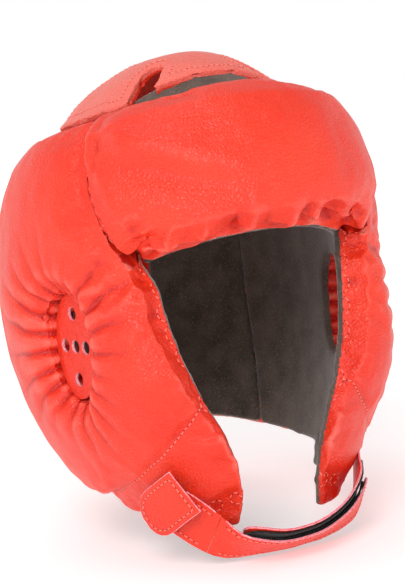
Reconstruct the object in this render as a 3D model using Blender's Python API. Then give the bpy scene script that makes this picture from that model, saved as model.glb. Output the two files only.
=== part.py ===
"""Open-face boxing headgear: a padded ring, cheek flaps, a vented crown and its straps.

Metres, +Z up. The wearer looks along -Y and the wearer's left is +X. The origin is midway
between the wearer's ear openings, where the head sits.
"""
import math

import bmesh
import bpy
from mathutils import Matrix, Vector

# Head cavity
HEAD_HALF_WIDTH = 0.082
HEAD_FRONT = 0.090
HEAD_BACK = 0.118
CROWN_HEIGHT = 0.152
JAW_DROP = 0.100
JAW_NARROWING = 0.28
CHIN_NARROWING = 0.16
NAPE_NARROWING = 0.44
DOME_POWER = 3.0
PLAN_POWER = 2.2
EGG = 0.06
WALL_UPRIGHT = 0.55

# Pads: leatherette cover over foam over a thin lining
FRONT_PAD_THICKNESS = 0.030
SIDE_PAD_THICKNESS = 0.029
REAR_PAD_THICKNESS = 0.024
FLAP_THICKNESS = 0.012
COVER_WALL = 0.0012
LINING_THICKNESS = 0.0012
LAYER_GAP = 0.0004
SEAM_GAP = 0.0008

# Pad outlines: heights, and azimuths in degrees from the front
BROW_CENTRE_HEIGHT = 0.057
BROW_CORNER_HEIGHT = 0.045
BROW_CORNER_AZIMUTH = 48.0
FRONT_PAD_TOP = 0.131
SEAM_TOP_HEIGHT = 0.121
SEAM_TOP_AZIMUTH = 66.5
REAR_SEAM_AZIMUTH = 132.0
REAR_SEAM_TOP = 0.108
NAPE_AZIMUTH = 173.5
NAPE_TOP = 0.100
NAPE_BOTTOM = -0.072
REAR_SEAM_BOTTOM = -0.082
FLAP_LINE_FRONT_HEIGHT = -0.033
FLAP_LINE_LOW_HEIGHT = -0.088
FLAP_FRONT_AZIMUTH = 30.5
FLAP_REAR_AZIMUTH = 92.0
FLAP_TIP_HEIGHT = -0.108
FLAP_REAR_HEIGHT = -0.102
CHEEK_TIP_AZIMUTH = 20.0
CHEEK_TIP_FLARE = 4.0
CHEEK_TIP_RISE = 0.020
CHEEK_MIDDLE_HEIGHT = -0.060
CHEEK_MIDDLE_AZIMUTH = 22.0
TEMPLE_HEIGHT = 0.015
TEMPLE_AZIMUTH = 40.5
PINCH_HEIGHT = 0.033
PINCH_AZIMUTH = 42.5
FRONT_LINING_RISE = 0.009

# How far each pad thins towards its edges, as shares of its thickness
PILLOW_SIDE_FALL = 0.05
PILLOW_TOP_FALL = 0.34
CHEEK_FRONT_FALL = 0.34
CHEEK_TEMPLE_FALL = 0.14
CHEEK_FRONT_REACH = 0.45
CHEEK_REAR_FALL = 0.15
CHEEK_TOP_FALL = 0.36
CHEEK_FLAP_FALL = 0.52
CHEEK_BOTTOM_FALL = 0.22
CHEEK_BOTTOM_REACH = 0.34
FLAP_EDGE_FALL = 0.38

# Ear opening and its perforated panel
EAR_AZIMUTH = 75.0
EAR_HEIGHT = 0.0
EAR_HALF_WIDTH = 0.020
EAR_HALF_HEIGHT = 0.031
EAR_PANEL_DEPTH = 0.013
EAR_PANEL_THICKNESS = 0.0018
EAR_PANEL_CLEARANCE = 0.0004
EAR_HOLE_RADIUS = 0.004
EAR_HOLE_SPACING_ACROSS = 0.0105
EAR_HOLE_SPACING_UP = 0.019
EAR_HOLE_SIDES = 14
CUTTER_OVERRUN = 0.02

# Crown
CROWN_LINING_OFFSET = 0.0020
CROWN_FOAM_THICKNESS = 0.0030
CROWN_SIDE_RISE = 0.007
CROWN_FRONT_RISE = 0.010
VENT_AZIMUTH_FRONT = 52.0
VENT_AZIMUTH_REAR = 128.0
VENT_MOUTH_HALF_ANGLE = 6.0
VENT_BELLY_ANGLE = 11.0
VENT_TIP_RING = 0.30
CROWN_FOAM_INSET_ANGLE = 1.0
LOBE_COLUMNS = 7
LOBE_ROWS = 5
LOBE_CAP_ROWS = 2

# Straps
STRAP_WIDTH = 0.028
STRAP_LEATHER = 0.0012
TAPE_THICKNESS = 0.0012
TAPE_MARGIN = 0.0025
STRAP_GAP = 0.0004
PEEL_GAP = 0.0009
STRAP_STATION = 4.0
INNER_STRAP_SHIFT = 0.006
CHIN_STRAP_ROOT_AZIMUTH = -34.0
CHIN_STRAP_ANCHOR_AZIMUTH = -50.0
CHIN_STRAP_END_AZIMUTH = 53.0
LEFT_STRAP_END_AZIMUTH = -24.0
LEFT_STRAP_ROOT_AZIMUTH = 68.5
CHIN_STRAP_OFFSET = 0.0115
STRAP_ON_FLAP_OFFSET = 0.0140
STRAP_ROOT_OFFSET = 0.0100
CHIN_STRAP_HEIGHTS = (
    (-60, -0.082), (-48, -0.094), (-38, -0.1035), (-28, -0.1095), (-16, -0.1125), (0, -0.114),
    (20, -0.112), (38, -0.107), (53, -0.103), (62, -0.097), (66, -0.092), (69, -0.086),
)
CHIN_STRAP_OFFSETS = (
    (-60, STRAP_ROOT_OFFSET), (-44, STRAP_ROOT_OFFSET), (-26, CHIN_STRAP_OFFSET),
    (10, CHIN_STRAP_OFFSET), (40, STRAP_ON_FLAP_OFFSET), (72, STRAP_ON_FLAP_OFFSET),
)
CHIN_STRAP_TILTS = (
    (-60, 0), (-44, 4), (-34, 18), (-22, 50), (-8, 64), (12, 60), (38, 32), (56, 12), (72, 0),
)
ANCHOR_GAP_ANGLE = 1.2
TAPE_ROOT_SETBACK_ANGLE = 2.0
TAPE_END_SETBACK_ANGLE = 2.0
LOOP_TAPE_ROOT_SETBACK_ANGLE = 12.0
KEEPER_LENGTH_ANGLE = 22.0
KEEPER_FOLD_AZIMUTH = -41.0
KEEPER_FOLD_HEIGHT = -0.078
KEEPER_END_HEIGHT = -0.099
KEEPER_OFFSET = 0.0200
KEEPER_TILT = 4.0
KEEPER_TAPE_SETBACK_ANGLE = 3.0
NAPE_STRAP_HEIGHT = 0.022
NAPE_STRAP_WIDTH = 0.045
NAPE_STRAP_ROOT_AZIMUTH = 160.0
NAPE_STRAP_END_AZIMUTH = 207.0
NAPE_PATCH_WIDTH = 0.055
NAPE_PATCH_START_AZIMUTH = 186.0
NAPE_HOOK_START_AZIMUTH = 185.0
NAPE_STRAP_OFFSET = 0.0285

RED = (0.86, 0.045, 0.03, 1.0)
GREY = (0.10, 0.085, 0.07, 1.0)
BLACK = (0.012, 0.012, 0.012, 1.0)
FOAM = (0.72, 0.70, 0.62, 1.0)
LEATHERETTE_ROUGHNESS = 0.42
CLOTH_ROUGHNESS = 0.92


def clear_scene():
    for thing in list(bpy.data.objects):
        bpy.data.objects.remove(thing, do_unlink=True)


def make_material(name, colour, roughness):
    material = bpy.data.materials.new(name)
    material.use_nodes = True
    shader = material.node_tree.nodes["Principled BSDF"]
    shader.inputs["Base Color"].default_value = colour
    shader.inputs["Roughness"].default_value = roughness
    shader.inputs["Metallic"].default_value = 0.0
    return material


def mix(a, b, share):
    return a + (b - a) * share


def along(knots, value):
    """Straight-line reading of a list of (place, reading) pairs."""
    if value <= knots[0][0]:
        return knots[0][1]
    for (place, reading), (next_place, next_reading) in zip(knots, knots[1:]):
        if value <= next_place:
            return mix(reading, next_reading, (value - place) / (next_place - place))
    return knots[-1][1]


def smooth_along(knots, value):
    """Smooth reading of a list of (place, reading) pairs."""
    places = [place for place, _ in knots]
    readings = [reading for _, reading in knots]
    last = len(knots) - 1
    value = min(max(value, places[0]), places[-1])
    index = max(i for i in range(last) if places[i] <= value)
    span = places[index + 1] - places[index]

    def slope(i):
        low, high = max(i - 1, 0), min(i + 1, last)
        return (readings[high] - readings[low]) / (places[high] - places[low])

    t = (value - places[index]) / span
    start = (1 + 2 * t) * (1 - t) ** 2 * readings[index] + t * (1 - t) ** 2 * span * slope(index)
    end = t * t * (3 - 2 * t) * readings[index + 1] - t * t * (1 - t) * span * slope(index + 1)
    return start + end


# ---------------------------------------------------------------- head form

def section(height):
    """Half width, front reach and back reach of the head cavity at a height."""
    if height >= 0:
        dome = math.sqrt(max(0.0, 1 - (height / CROWN_HEIGHT) ** DOME_POWER))
        return HEAD_HALF_WIDTH * dome, HEAD_FRONT * dome, HEAD_BACK * dome
    drop = -height / JAW_DROP
    return (
        HEAD_HALF_WIDTH * (1 - JAW_NARROWING * drop**1.4),
        HEAD_FRONT * (1 - CHIN_NARROWING * drop**1.6),
        HEAD_BACK * (1 - NAPE_NARROWING * drop**1.1),
    )


def ring_point(azimuth, height):
    """Point of the head cavity at an azimuth in degrees, 0 in front and + to the wearer's left."""
    half_width, front, back = section(height)
    sine, cosine = math.sin(math.radians(azimuth)), math.cos(math.radians(azimuth))
    power = 2 / PLAN_POWER
    across = math.copysign(abs(sine) ** power, sine)
    ahead = math.copysign(abs(cosine) ** power, cosine)
    half_width *= 1 - EGG * cosine
    return Vector((half_width * across, (back - front) / 2 - (front + back) / 2 * ahead, height))


def wall_point(azimuth, height, offset):
    """Point a distance outside the cavity wall, measured nearly level so that the pads stand up."""
    step = 0.5
    rise = 0.0005
    across = ring_point(azimuth + step, height) - ring_point(azimuth - step, height)
    up = ring_point(azimuth, height + rise) - ring_point(azimuth, height - rise)
    outward = across.cross(up)
    outward.z *= WALL_UPRIGHT
    return ring_point(azimuth, height) + outward.normalized() * offset


def pad_top(azimuth):
    """Height of the top edge of the padded ring."""
    turn = abs(azimuth)
    if turn <= SEAM_TOP_AZIMUTH:
        return mix(FRONT_PAD_TOP, SEAM_TOP_HEIGHT, (turn / SEAM_TOP_AZIMUTH) ** 2)
    rear = ((SEAM_TOP_AZIMUTH, SEAM_TOP_HEIGHT), (REAR_SEAM_AZIMUTH, REAR_SEAM_TOP), (180.0, NAPE_TOP))
    return along(rear, turn)


def seam_azimuth(height):
    """The seam between front pad and side pad leans back as it rises."""
    rise = (height - BROW_CORNER_HEIGHT) / (SEAM_TOP_HEIGHT - BROW_CORNER_HEIGHT)
    return mix(BROW_CORNER_AZIMUTH, SEAM_TOP_AZIMUTH, rise)


def opening_azimuth(height):
    """Edge of the face opening, from the chin up to the brow."""
    knots = (
        (FLAP_TIP_HEIGHT, CHEEK_TIP_AZIMUTH + CHEEK_TIP_FLARE),
        (FLAP_TIP_HEIGHT + CHEEK_TIP_RISE, CHEEK_TIP_AZIMUTH),
        (CHEEK_MIDDLE_HEIGHT, CHEEK_MIDDLE_AZIMUTH),
        (FLAP_LINE_FRONT_HEIGHT, FLAP_FRONT_AZIMUTH),
        (TEMPLE_HEIGHT, TEMPLE_AZIMUTH),
        (PINCH_HEIGHT, PINCH_AZIMUTH),
        (BROW_CORNER_HEIGHT, BROW_CORNER_AZIMUTH),
    )
    return smooth_along(knots, height)


def flap_line(azimuth):
    """Height of the diagonal seam under the padded cheek, and of the lower edge behind it."""
    if azimuth <= FLAP_REAR_AZIMUTH:
        share = (FLAP_REAR_AZIMUTH - azimuth) / (FLAP_REAR_AZIMUTH - FLAP_FRONT_AZIMUTH)
        return mix(FLAP_LINE_LOW_HEIGHT, FLAP_LINE_FRONT_HEIGHT, share**1.5)
    share = (azimuth - FLAP_REAR_AZIMUTH) / (REAR_SEAM_AZIMUTH - FLAP_REAR_AZIMUTH)
    return mix(FLAP_LINE_LOW_HEIGHT, REAR_SEAM_BOTTOM, share**1.3)


# ---------------------------------------------------------------- pad outlines
# Each outline turns shares (u across, v up) into an azimuth and a height.

def front_outline(u, v):
    centre_turn = abs(2 * u - 1)
    bottom = mix(BROW_CENTRE_HEIGHT, BROW_CORNER_HEIGHT, centre_turn**2)
    top = mix(FRONT_PAD_TOP, SEAM_TOP_HEIGHT, centre_turn**2)
    height = mix(bottom, top, v)
    edge_height = mix(BROW_CORNER_HEIGHT, SEAM_TOP_HEIGHT, v)
    return (2 * u - 1) * seam_azimuth(edge_height), height


def side_outline(u, v):
    edge_height = mix(FLAP_LINE_FRONT_HEIGHT, SEAM_TOP_HEIGHT, v)
    if edge_height < BROW_CORNER_HEIGHT:
        front = opening_azimuth(edge_height)
    else:
        front = seam_azimuth(edge_height)
    azimuth = mix(front, REAR_SEAM_AZIMUTH, u)
    bottom = flap_line(mix(FLAP_FRONT_AZIMUTH, REAR_SEAM_AZIMUTH, u))
    top = pad_top(mix(SEAM_TOP_AZIMUTH, REAR_SEAM_AZIMUTH, u))
    return azimuth, mix(bottom, top, v)


def rear_outline(u, v):
    azimuth = mix(REAR_SEAM_AZIMUTH, NAPE_AZIMUTH, u)
    bottom = mix(REAR_SEAM_BOTTOM, NAPE_BOTTOM, u)
    top = mix(REAR_SEAM_TOP, NAPE_TOP, u)
    return azimuth, mix(bottom, top, v)


def flap_outline(u, v):
    azimuth_low = mix(FLAP_FRONT_AZIMUTH, FLAP_REAR_AZIMUTH, u)
    top = flap_line(azimuth_low)
    bottom = mix(FLAP_TIP_HEIGHT, FLAP_REAR_HEIGHT, u)
    height = mix(bottom, top, v)
    edge_height = mix(FLAP_TIP_HEIGHT, FLAP_LINE_FRONT_HEIGHT, v)
    return mix(opening_azimuth(edge_height), FLAP_REAR_AZIMUTH, u), height


def pillow(u, v, thickness):
    """Pad thickness, rounded off towards the four edges."""
    across = 1 - PILLOW_SIDE_FALL * abs(2 * u - 1) ** 8
    up = 1 - PILLOW_TOP_FALL * abs(2 * v - 1) ** 5
    return thickness * across * up


def cheek_pillow(u, v, thickness):
    """Side pad thickness: thinner to the face opening and the flap, full behind the ear."""
    temple = smooth_along(((0.42, CHEEK_FRONT_FALL), (0.62, CHEEK_TEMPLE_FALL)), v)
    front = temple * max(0.0, 1 - u / CHEEK_FRONT_REACH) ** 2
    lower_edge = smooth_along(((0.40, CHEEK_FLAP_FALL), (0.75, CHEEK_BOTTOM_FALL)), u)
    bottom = lower_edge * max(0.0, 1 - v / CHEEK_BOTTOM_REACH) ** 2
    top = CHEEK_TOP_FALL * max(0.0, 2 * v - 1) ** 4
    return thickness * (1 - max(front, bottom) - CHEEK_REAR_FALL * u**8) * (1 - top)


def flap_depth(u, v, thickness):
    """Flap thickness, thinner towards its lower edge."""
    return thickness * (1 - FLAP_EDGE_FALL * (1 - v))


# ---------------------------------------------------------------- mesh making

def link(name, builder, material):
    """Makes an object from a bmesh, with its faces turned outwards."""
    bmesh.ops.recalc_face_normals(builder, faces=builder.faces)
    mesh = bpy.data.meshes.new(name)
    builder.to_mesh(mesh)
    builder.free()
    mesh.materials.append(material)
    mesh.shade_smooth()
    mesh.set_sharp_from_angle(angle=math.radians(40))
    thing = bpy.data.objects.new(name, mesh)
    bpy.context.scene.collection.objects.link(thing)
    return thing


def border(columns, rows):
    """Grid places round the edge of a grid, in order."""
    low = [(i, 0) for i in range(columns)]
    right = [(columns, j) for j in range(rows)]
    high = [(i, rows) for i in range(columns, 0, -1)]
    left = [(0, j) for j in range(rows, 0, -1)]
    return low + right + high + left


def grid_verts(builder, columns, rows, place):
    """A grid of vertices at place(i, j)."""
    verts = {}
    for i in range(columns + 1):
        for j in range(rows + 1):
            verts[i, j] = builder.verts.new(place(i, j))
    return verts


def fill_grid(builder, verts, columns, rows):
    for i in range(columns):
        for j in range(rows):
            builder.faces.new((verts[i, j], verts[i + 1, j], verts[i + 1, j + 1], verts[i, j + 1]))


def bridge(builder, ring_a, ring_b):
    count = len(ring_a)
    for k in range(count):
        after = (k + 1) % count
        builder.faces.new((ring_a[k], ring_a[after], ring_b[after], ring_b[k]))


def slab(name, columns, rows, lower, upper, material):
    """A closed sheet between two grids of points."""
    builder = bmesh.new()
    low = grid_verts(builder, columns, rows, lower)
    high = grid_verts(builder, columns, rows, upper)
    fill_grid(builder, low, columns, rows)
    fill_grid(builder, high, columns, rows)
    edge = border(columns, rows)
    bridge(builder, [low[place] for place in edge], [high[place] for place in edge])
    return link(name, builder, material)


def tray(name, columns, rows, outer, inner, rim_outer, rim_inner, material):
    """A thin cover with turned-down sides, open at the back."""
    builder = bmesh.new()
    outside = grid_verts(builder, columns, rows, outer)
    inside = grid_verts(builder, columns, rows, inner)
    fill_grid(builder, outside, columns, rows)
    fill_grid(builder, inside, columns, rows)
    edge = border(columns, rows)
    rim_a = [builder.verts.new(rim_outer(*place)) for place in edge]
    rim_b = [builder.verts.new(rim_inner(*place)) for place in edge]
    bridge(builder, [outside[place] for place in edge], rim_a)
    bridge(builder, rim_a, rim_b)
    bridge(builder, rim_b, [inside[place] for place in edge])
    return link(name, builder, material)


class Pad:
    """A cover, a foam core and a lining that share one outline."""

    def __init__(self, name, side, outline, thickness, depth, columns, rows):
        self.name = name
        self.side = side
        self.outline = outline
        self.thickness = thickness
        self.depth = depth
        self.columns = columns
        self.rows = rows

    def point(self, i, j, inset, offset):
        """Point of the pad's grid, pulled in from the edges and set out from the wall."""
        u, v = i / self.columns, j / self.rows
        width = (wall_point(*self.outline(1, v), 0) - wall_point(*self.outline(0, v), 0)).length
        rise = (wall_point(*self.outline(u, 1), 0) - wall_point(*self.outline(u, 0), 0)).length
        share_u, share_v = inset / width, inset / rise
        azimuth, height = self.outline(mix(share_u, 1 - share_u, u), mix(share_v, 1 - share_v, v))
        here = wall_point(azimuth, height, offset)
        return Vector((here.x * self.side, here.y, here.z))

    def full(self, i, j):
        return self.depth(i / self.columns, j / self.rows, self.thickness)

    def build(self, red, foam, grey, lining_rise=0.0):
        """Makes the three layers, outermost first."""
        seam = SEAM_GAP / 2
        base = LINING_THICKNESS + LAYER_GAP
        wall = COVER_WALL
        core_inset = seam + wall + LAYER_GAP
        cover = tray(
            self.name + "_cover", self.columns, self.rows,
            lambda i, j: self.point(i, j, seam, self.full(i, j)),
            lambda i, j: self.point(i, j, seam + wall, self.full(i, j) - wall),
            lambda i, j: self.point(i, j, seam, base),
            lambda i, j: self.point(i, j, seam + wall, base),
            red,
        )
        core = slab(
            self.name + "_foam", self.columns, self.rows,
            lambda i, j: self.point(i, j, core_inset, base),
            lambda i, j: self.point(i, j, core_inset, self.full(i, j) - wall - LAYER_GAP),
            foam,
        )

        def lining_point(i, j, offset):
            if lining_rise and j == self.rows:
                azimuth, height = self.outline(i / self.columns, 1)
                return wall_point(azimuth * self.side, height + lining_rise, offset)
            return self.point(i, j, seam, offset)

        lining = slab(
            self.name + "_lining", self.columns, self.rows,
            lambda i, j: lining_point(i, j, 0),
            lambda i, j: lining_point(i, j, LINING_THICKNESS),
            grey,
        )
        return cover, core, lining


# ---------------------------------------------------------------- ear opening

def ear_frame(side):
    """Centre of the ear opening on the cavity wall, with its across, up and outward directions."""
    centre = wall_point(EAR_AZIMUTH, EAR_HEIGHT, 0)
    outward = (wall_point(EAR_AZIMUTH, EAR_HEIGHT, 0.01) - centre).normalized()
    centre.x *= side
    outward.x *= side
    up = Vector((0, 0, 1))
    up = (up - outward * up.dot(outward)).normalized()
    across = up.cross(outward)
    return centre, across, up, outward


def oval(name, frame, half_width, half_height, low, high, material, shift=(0, 0), sides=32):
    """An oval block along the ear frame's outward direction."""
    centre, across, up, outward = frame
    centre = centre + across * shift[0] + up * shift[1]
    builder = bmesh.new()
    rings = []
    for depth in (low, high):
        ring = []
        for k in range(sides):
            turn = 2 * math.pi * k / sides
            flat = across * half_width * math.cos(turn) + up * half_height * math.sin(turn)
            ring.append(builder.verts.new(centre + flat + outward * depth))
        rings.append(ring)
    bridge(builder, rings[0], rings[1])
    builder.faces.new(rings[0])
    builder.faces.new(rings[1])
    return link(name, builder, material)


def cut(target, cutter, name):
    cutter.hide_render = True
    cutter.display_type = "WIRE"
    change = target.modifiers.new(name, "BOOLEAN")
    change.operation = "DIFFERENCE"
    change.solver = "EXACT"
    change.object = cutter


def ear_opening(side, label, layers, red):
    """Cuts the oval ear opening through a side pad and sets the perforated panel in it."""
    frame = ear_frame(side)
    cutter = oval(
        "ear_cutter_" + label, frame, EAR_HALF_WIDTH, EAR_HALF_HEIGHT,
        -CUTTER_OVERRUN, SIDE_PAD_THICKNESS + CUTTER_OVERRUN, red,
    )
    for layer in layers:
        cut(layer, cutter, "ear opening")
    panel = oval(
        "ear_panel_" + label, frame,
        EAR_HALF_WIDTH - EAR_PANEL_CLEARANCE, EAR_HALF_HEIGHT - EAR_PANEL_CLEARANCE,
        EAR_PANEL_DEPTH, EAR_PANEL_DEPTH + EAR_PANEL_THICKNESS, red,
    )
    across, up = EAR_HOLE_SPACING_ACROSS, EAR_HOLE_SPACING_UP
    for k, shift in enumerate(((0, 0), (across, 0), (-across, 0), (0, up), (0, -up))):
        punch = oval(
            f"punch_{label}_{k}", frame, EAR_HOLE_RADIUS, EAR_HOLE_RADIUS,
            EAR_PANEL_DEPTH - EAR_PANEL_THICKNESS, EAR_PANEL_DEPTH + 2 * EAR_PANEL_THICKNESS,
            red, shift, EAR_HOLE_SIDES,
        )
        cut(panel, punch, f"hole {k}")


# ---------------------------------------------------------------- crown

def ring_of(height):
    """Share of the full head section that the dome has at a height."""
    return math.sqrt(1 - (height / CROWN_HEIGHT) ** DOME_POWER)


def dome_point(azimuth, ring, offset):
    """Point over the crown, by azimuth and by share of the full section."""
    def bare(turn, share):
        height = CROWN_HEIGHT * max(0.0, 1 - share * share) ** (1 / DOME_POWER)
        point = ring_point(turn, 0)
        return Vector((point.x * share, point.y * share, height))

    step, change = 0.5, 0.004
    across = bare(azimuth + step, ring) - bare(azimuth - step, ring)
    inward = bare(azimuth, ring - change) - bare(azimuth, ring + change)
    return bare(azimuth, ring) + across.cross(inward).normalized() * offset


def vent_half_angle(rise):
    """Half the angle a vent takes, from its mouth (0) to its tip (1)."""
    return (VENT_MOUTH_HALF_ANGLE + VENT_BELLY_ANGLE * rise) * math.sqrt(max(0.0, 1 - rise))


def crown_sheet(name, offset, thickness, inset, material):
    """One layer of the crown: four lobes that meet over the top, with a vent between each two."""
    vents = (VENT_AZIMUTH_FRONT, VENT_AZIMUTH_REAR, 360 - VENT_AZIMUTH_REAR, 360 - VENT_AZIMUTH_FRONT)
    columns, rows, cap_rows = LOBE_COLUMNS, LOBE_ROWS, LOBE_CAP_ROWS
    last = rows + cap_rows
    builder = bmesh.new()
    made = {}

    def vert(point):
        key = tuple(round(value, 6) for value in point)
        if key not in made:
            made[key] = builder.verts.new(point)
        return made[key]

    def place(lobe, i, j):
        start = vents[lobe - 1] - (360 if lobe == 0 else 0)
        end = vents[lobe]
        rise = min(j / rows, 1.0)
        half = vent_half_angle(rise) + (inset if j < rows else 0)
        azimuth = mix(start + half, end - half, i / columns)
        edge = pad_top((azimuth + 180) % 360 - 180)
        edge += CROWN_FRONT_RISE if lobe == 0 else CROWN_SIDE_RISE
        ring = mix(ring_of(edge), VENT_TIP_RING, rise)
        if j > rows:
            ring = VENT_TIP_RING * (1 - (j - rows) / (cap_rows + 1))
        return vert(dome_point(azimuth, ring, offset))

    top = vert(Vector((0, 0, CROWN_HEIGHT + offset)))
    for lobe in range(4):
        for i in range(columns):
            for j in range(last):
                corners = ((i, j), (i + 1, j), (i + 1, j + 1), (i, j + 1))
                builder.faces.new([place(lobe, *corner) for corner in corners])
            builder.faces.new((place(lobe, i, last), place(lobe, i + 1, last), top))
    sheet = link(name, builder, material)
    wall = sheet.modifiers.new("thickness", "SOLIDIFY")
    wall.thickness = thickness
    wall.offset = 1.0
    return sheet


def make_crown(red, foam, grey):
    lining = LINING_THICKNESS
    foam_offset = CROWN_LINING_OFFSET + lining + LAYER_GAP
    cover_offset = foam_offset + CROWN_FOAM_THICKNESS + LAYER_GAP
    crown_sheet("crown_lining", CROWN_LINING_OFFSET, lining, 0.0, grey)
    crown_sheet("crown_foam", foam_offset, CROWN_FOAM_THICKNESS, CROWN_FOAM_INSET_ANGLE, foam)
    crown_sheet("crown_cover", cover_offset, COVER_WALL, 0.0, red)


# ---------------------------------------------------------------- straps

def chin_route(azimuth):
    """Height, offset from the cavity wall and tilt in degrees of the chin straps' shared surface."""
    return (
        smooth_along(CHIN_STRAP_HEIGHTS, azimuth),
        smooth_along(CHIN_STRAP_OFFSETS, azimuth),
        smooth_along(CHIN_STRAP_TILTS, azimuth),
    )


def keeper_route(azimuth):
    share = (KEEPER_FOLD_AZIMUTH - azimuth) / KEEPER_LENGTH_ANGLE
    return mix(KEEPER_FOLD_HEIGHT, KEEPER_END_HEIGHT, share), KEEPER_OFFSET, KEEPER_TILT


def nape_route(azimuth):
    return NAPE_STRAP_HEIGHT, NAPE_STRAP_OFFSET, 0.0


def route_frame(route, azimuth):
    """Centre, along, outward and upward directions of a strap at an azimuth."""
    def centre(turn):
        height, offset, _ = route(turn)
        return wall_point(turn, height, offset)

    here = centre(azimuth)
    forward = (centre(azimuth + 0.5) - centre(azimuth - 0.5)).normalized()
    height, offset, tilt = route(azimuth)
    outward = wall_point(azimuth, height, offset + STRAP_WIDTH) - here
    outward.z = 0
    outward = (outward - forward * outward.dot(forward)).normalized()
    upward = forward.cross(outward)
    if upward.z < 0:
        upward.negate()
    turn = math.radians(tilt)
    tilted = outward * math.cos(turn) - upward * math.sin(turn)
    return here, forward, tilted, upward * math.cos(turn) + outward * math.sin(turn)


def ribbon(name, route, start, end, width, layer, material, shift=0.0, round_end=False):
    """A flat strap along a route, a layer (low, high) above it, with a square or a round far end."""
    sense = math.copysign(1, end - start)
    stop = end
    if round_end:
        quarter = (route_frame(route, end)[0] - route_frame(route, end - sense * 4)[0]).length / 4
        stop = end - sense * (width / 2) / quarter
    marks = [k * STRAP_STATION for k in range(-90, 91)]
    between = [mark for mark in marks if min(start, stop) + 0.8 < mark < max(start, stop) - 0.8]
    stations = [start] + sorted(between, reverse=sense < 0) + [stop]
    spans = [width / 2] * len(stations)
    for share in (0.3, 0.6, 0.82, 0.96) if round_end else ():
        stations.append(mix(stop, end, share))
        spans.append(width / 2 * math.sqrt(1 - share * share))
    frames = [route_frame(route, station) for station in stations]

    def place(depth):
        def at(i, j):
            centre, _, outward, upward = frames[i]
            return centre + upward * (shift + spans[i] * (j - 1)) + outward * depth
        return at

    return slab(name, len(stations) - 1, 2, place(layer[0]), place(layer[1]), material)


def hinge(name, route, azimuth, depth, pieces, shift=0.0):
    """An empty where a strap is sewn on, its Z axis across the strap, with the strap's pieces on it."""
    centre, forward, outward, upward = route_frame(route, azimuth)
    pivot = bpy.data.objects.new(name, None)
    pivot.empty_display_size = STRAP_WIDTH / 2
    turned = Matrix((forward, outward, forward.cross(outward))).transposed().to_4x4()
    pivot.matrix_world = Matrix.Translation(centre + upward * shift + outward * depth) @ turned
    bpy.context.scene.collection.objects.link(pivot)
    for piece in pieces:
        piece.parent = pivot
        piece.matrix_parent_inverse = pivot.matrix_world.inverted()


def stack(base, *steps):
    """Layers (low, high) one above another, from pairs of gap below and thickness."""
    layers = []
    for gap, thickness in steps:
        layers.append((base + gap, base + gap + thickness))
        base = layers[-1][1]
    return layers


def make_chin_straps(red, black):
    leather, tape, gap = STRAP_LEATHER, TAPE_THICKNESS, STRAP_GAP
    inner, loop, hook, outer = stack(0.0, (0.0, leather), (gap, tape), (PEEL_GAP, tape), (gap, leather))
    width, band = STRAP_WIDTH, STRAP_WIDTH - 2 * TAPE_MARGIN
    root, end, anchor = CHIN_STRAP_ROOT_AZIMUTH, CHIN_STRAP_END_AZIMUTH, CHIN_STRAP_ANCHOR_AZIMUTH
    back, tip = TAPE_ROOT_SETBACK_ANGLE, TAPE_END_SETBACK_ANGLE
    ribbon("chin_strap_anchor", chin_route, root - ANCHOR_GAP_ANGLE, anchor, width, outer, red)
    pieces = (
        ribbon("chin_strap", chin_route, root, end, width, outer, red, round_end=True),
        ribbon("chin_strap_hook_tape", chin_route, root + back, end - tip, band, hook, black, round_end=True),
    )
    hinge("chin_strap_hinge", chin_route, root - ANCHOR_GAP_ANGLE / 2, outer[0], pieces)
    root, end, shift = LEFT_STRAP_ROOT_AZIMUTH, LEFT_STRAP_END_AZIMUTH, INNER_STRAP_SHIFT
    back = LOOP_TAPE_ROOT_SETBACK_ANGLE
    pieces = (
        ribbon("left_strap", chin_route, root, end, width, inner, red, shift, True),
        ribbon("left_strap_loop_tape", chin_route, root - back, end + tip, band, loop, black, shift, True),
    )
    hinge("left_strap_hinge", chin_route, root, leather / 2, pieces, shift)


def make_keeper(red, black):
    fold, end = KEEPER_FOLD_AZIMUTH, KEEPER_FOLD_AZIMUTH - KEEPER_LENGTH_ANGLE
    hook, tab = stack(0.0, (0.0, TAPE_THICKNESS), (STRAP_GAP, STRAP_LEATHER))
    back, tip = KEEPER_TAPE_SETBACK_ANGLE, TAPE_END_SETBACK_ANGLE
    band = STRAP_WIDTH - 2 * TAPE_MARGIN
    pieces = (
        ribbon("keeper_tab", keeper_route, fold, end, STRAP_WIDTH, tab, red, round_end=True),
        ribbon("keeper_hook_tape", keeper_route, fold - back, end + tip, band, hook, black, round_end=True),
    )
    hinge("keeper_hinge", keeper_route, fold, tab[0], pieces)


def make_nape_strap(red, black):
    gap, tape = STRAP_GAP, TAPE_THICKNESS
    base = REAR_PAD_THICKNESS - NAPE_STRAP_OFFSET
    loop, hook, outer = stack(base, (gap, tape), (gap, tape), (gap, STRAP_LEATHER))
    root, end = NAPE_STRAP_ROOT_AZIMUTH, NAPE_STRAP_END_AZIMUTH
    band = NAPE_STRAP_WIDTH - 2 * TAPE_MARGIN
    loop_start, hook_start, tip = NAPE_PATCH_START_AZIMUTH, NAPE_HOOK_START_AZIMUTH, TAPE_END_SETBACK_ANGLE
    ribbon("nape_loop_patch", nape_route, loop_start, end + tip, NAPE_PATCH_WIDTH, loop, black)
    pieces = (
        ribbon("nape_hook_tape", nape_route, hook_start, end - tip, band, hook, black),
        ribbon("nape_strap", nape_route, root, end, NAPE_STRAP_WIDTH, outer, red, round_end=True),
    )
    hinge("nape_strap_hinge", nape_route, root, 0.0, pieces)


# ---------------------------------------------------------------- assembly

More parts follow.
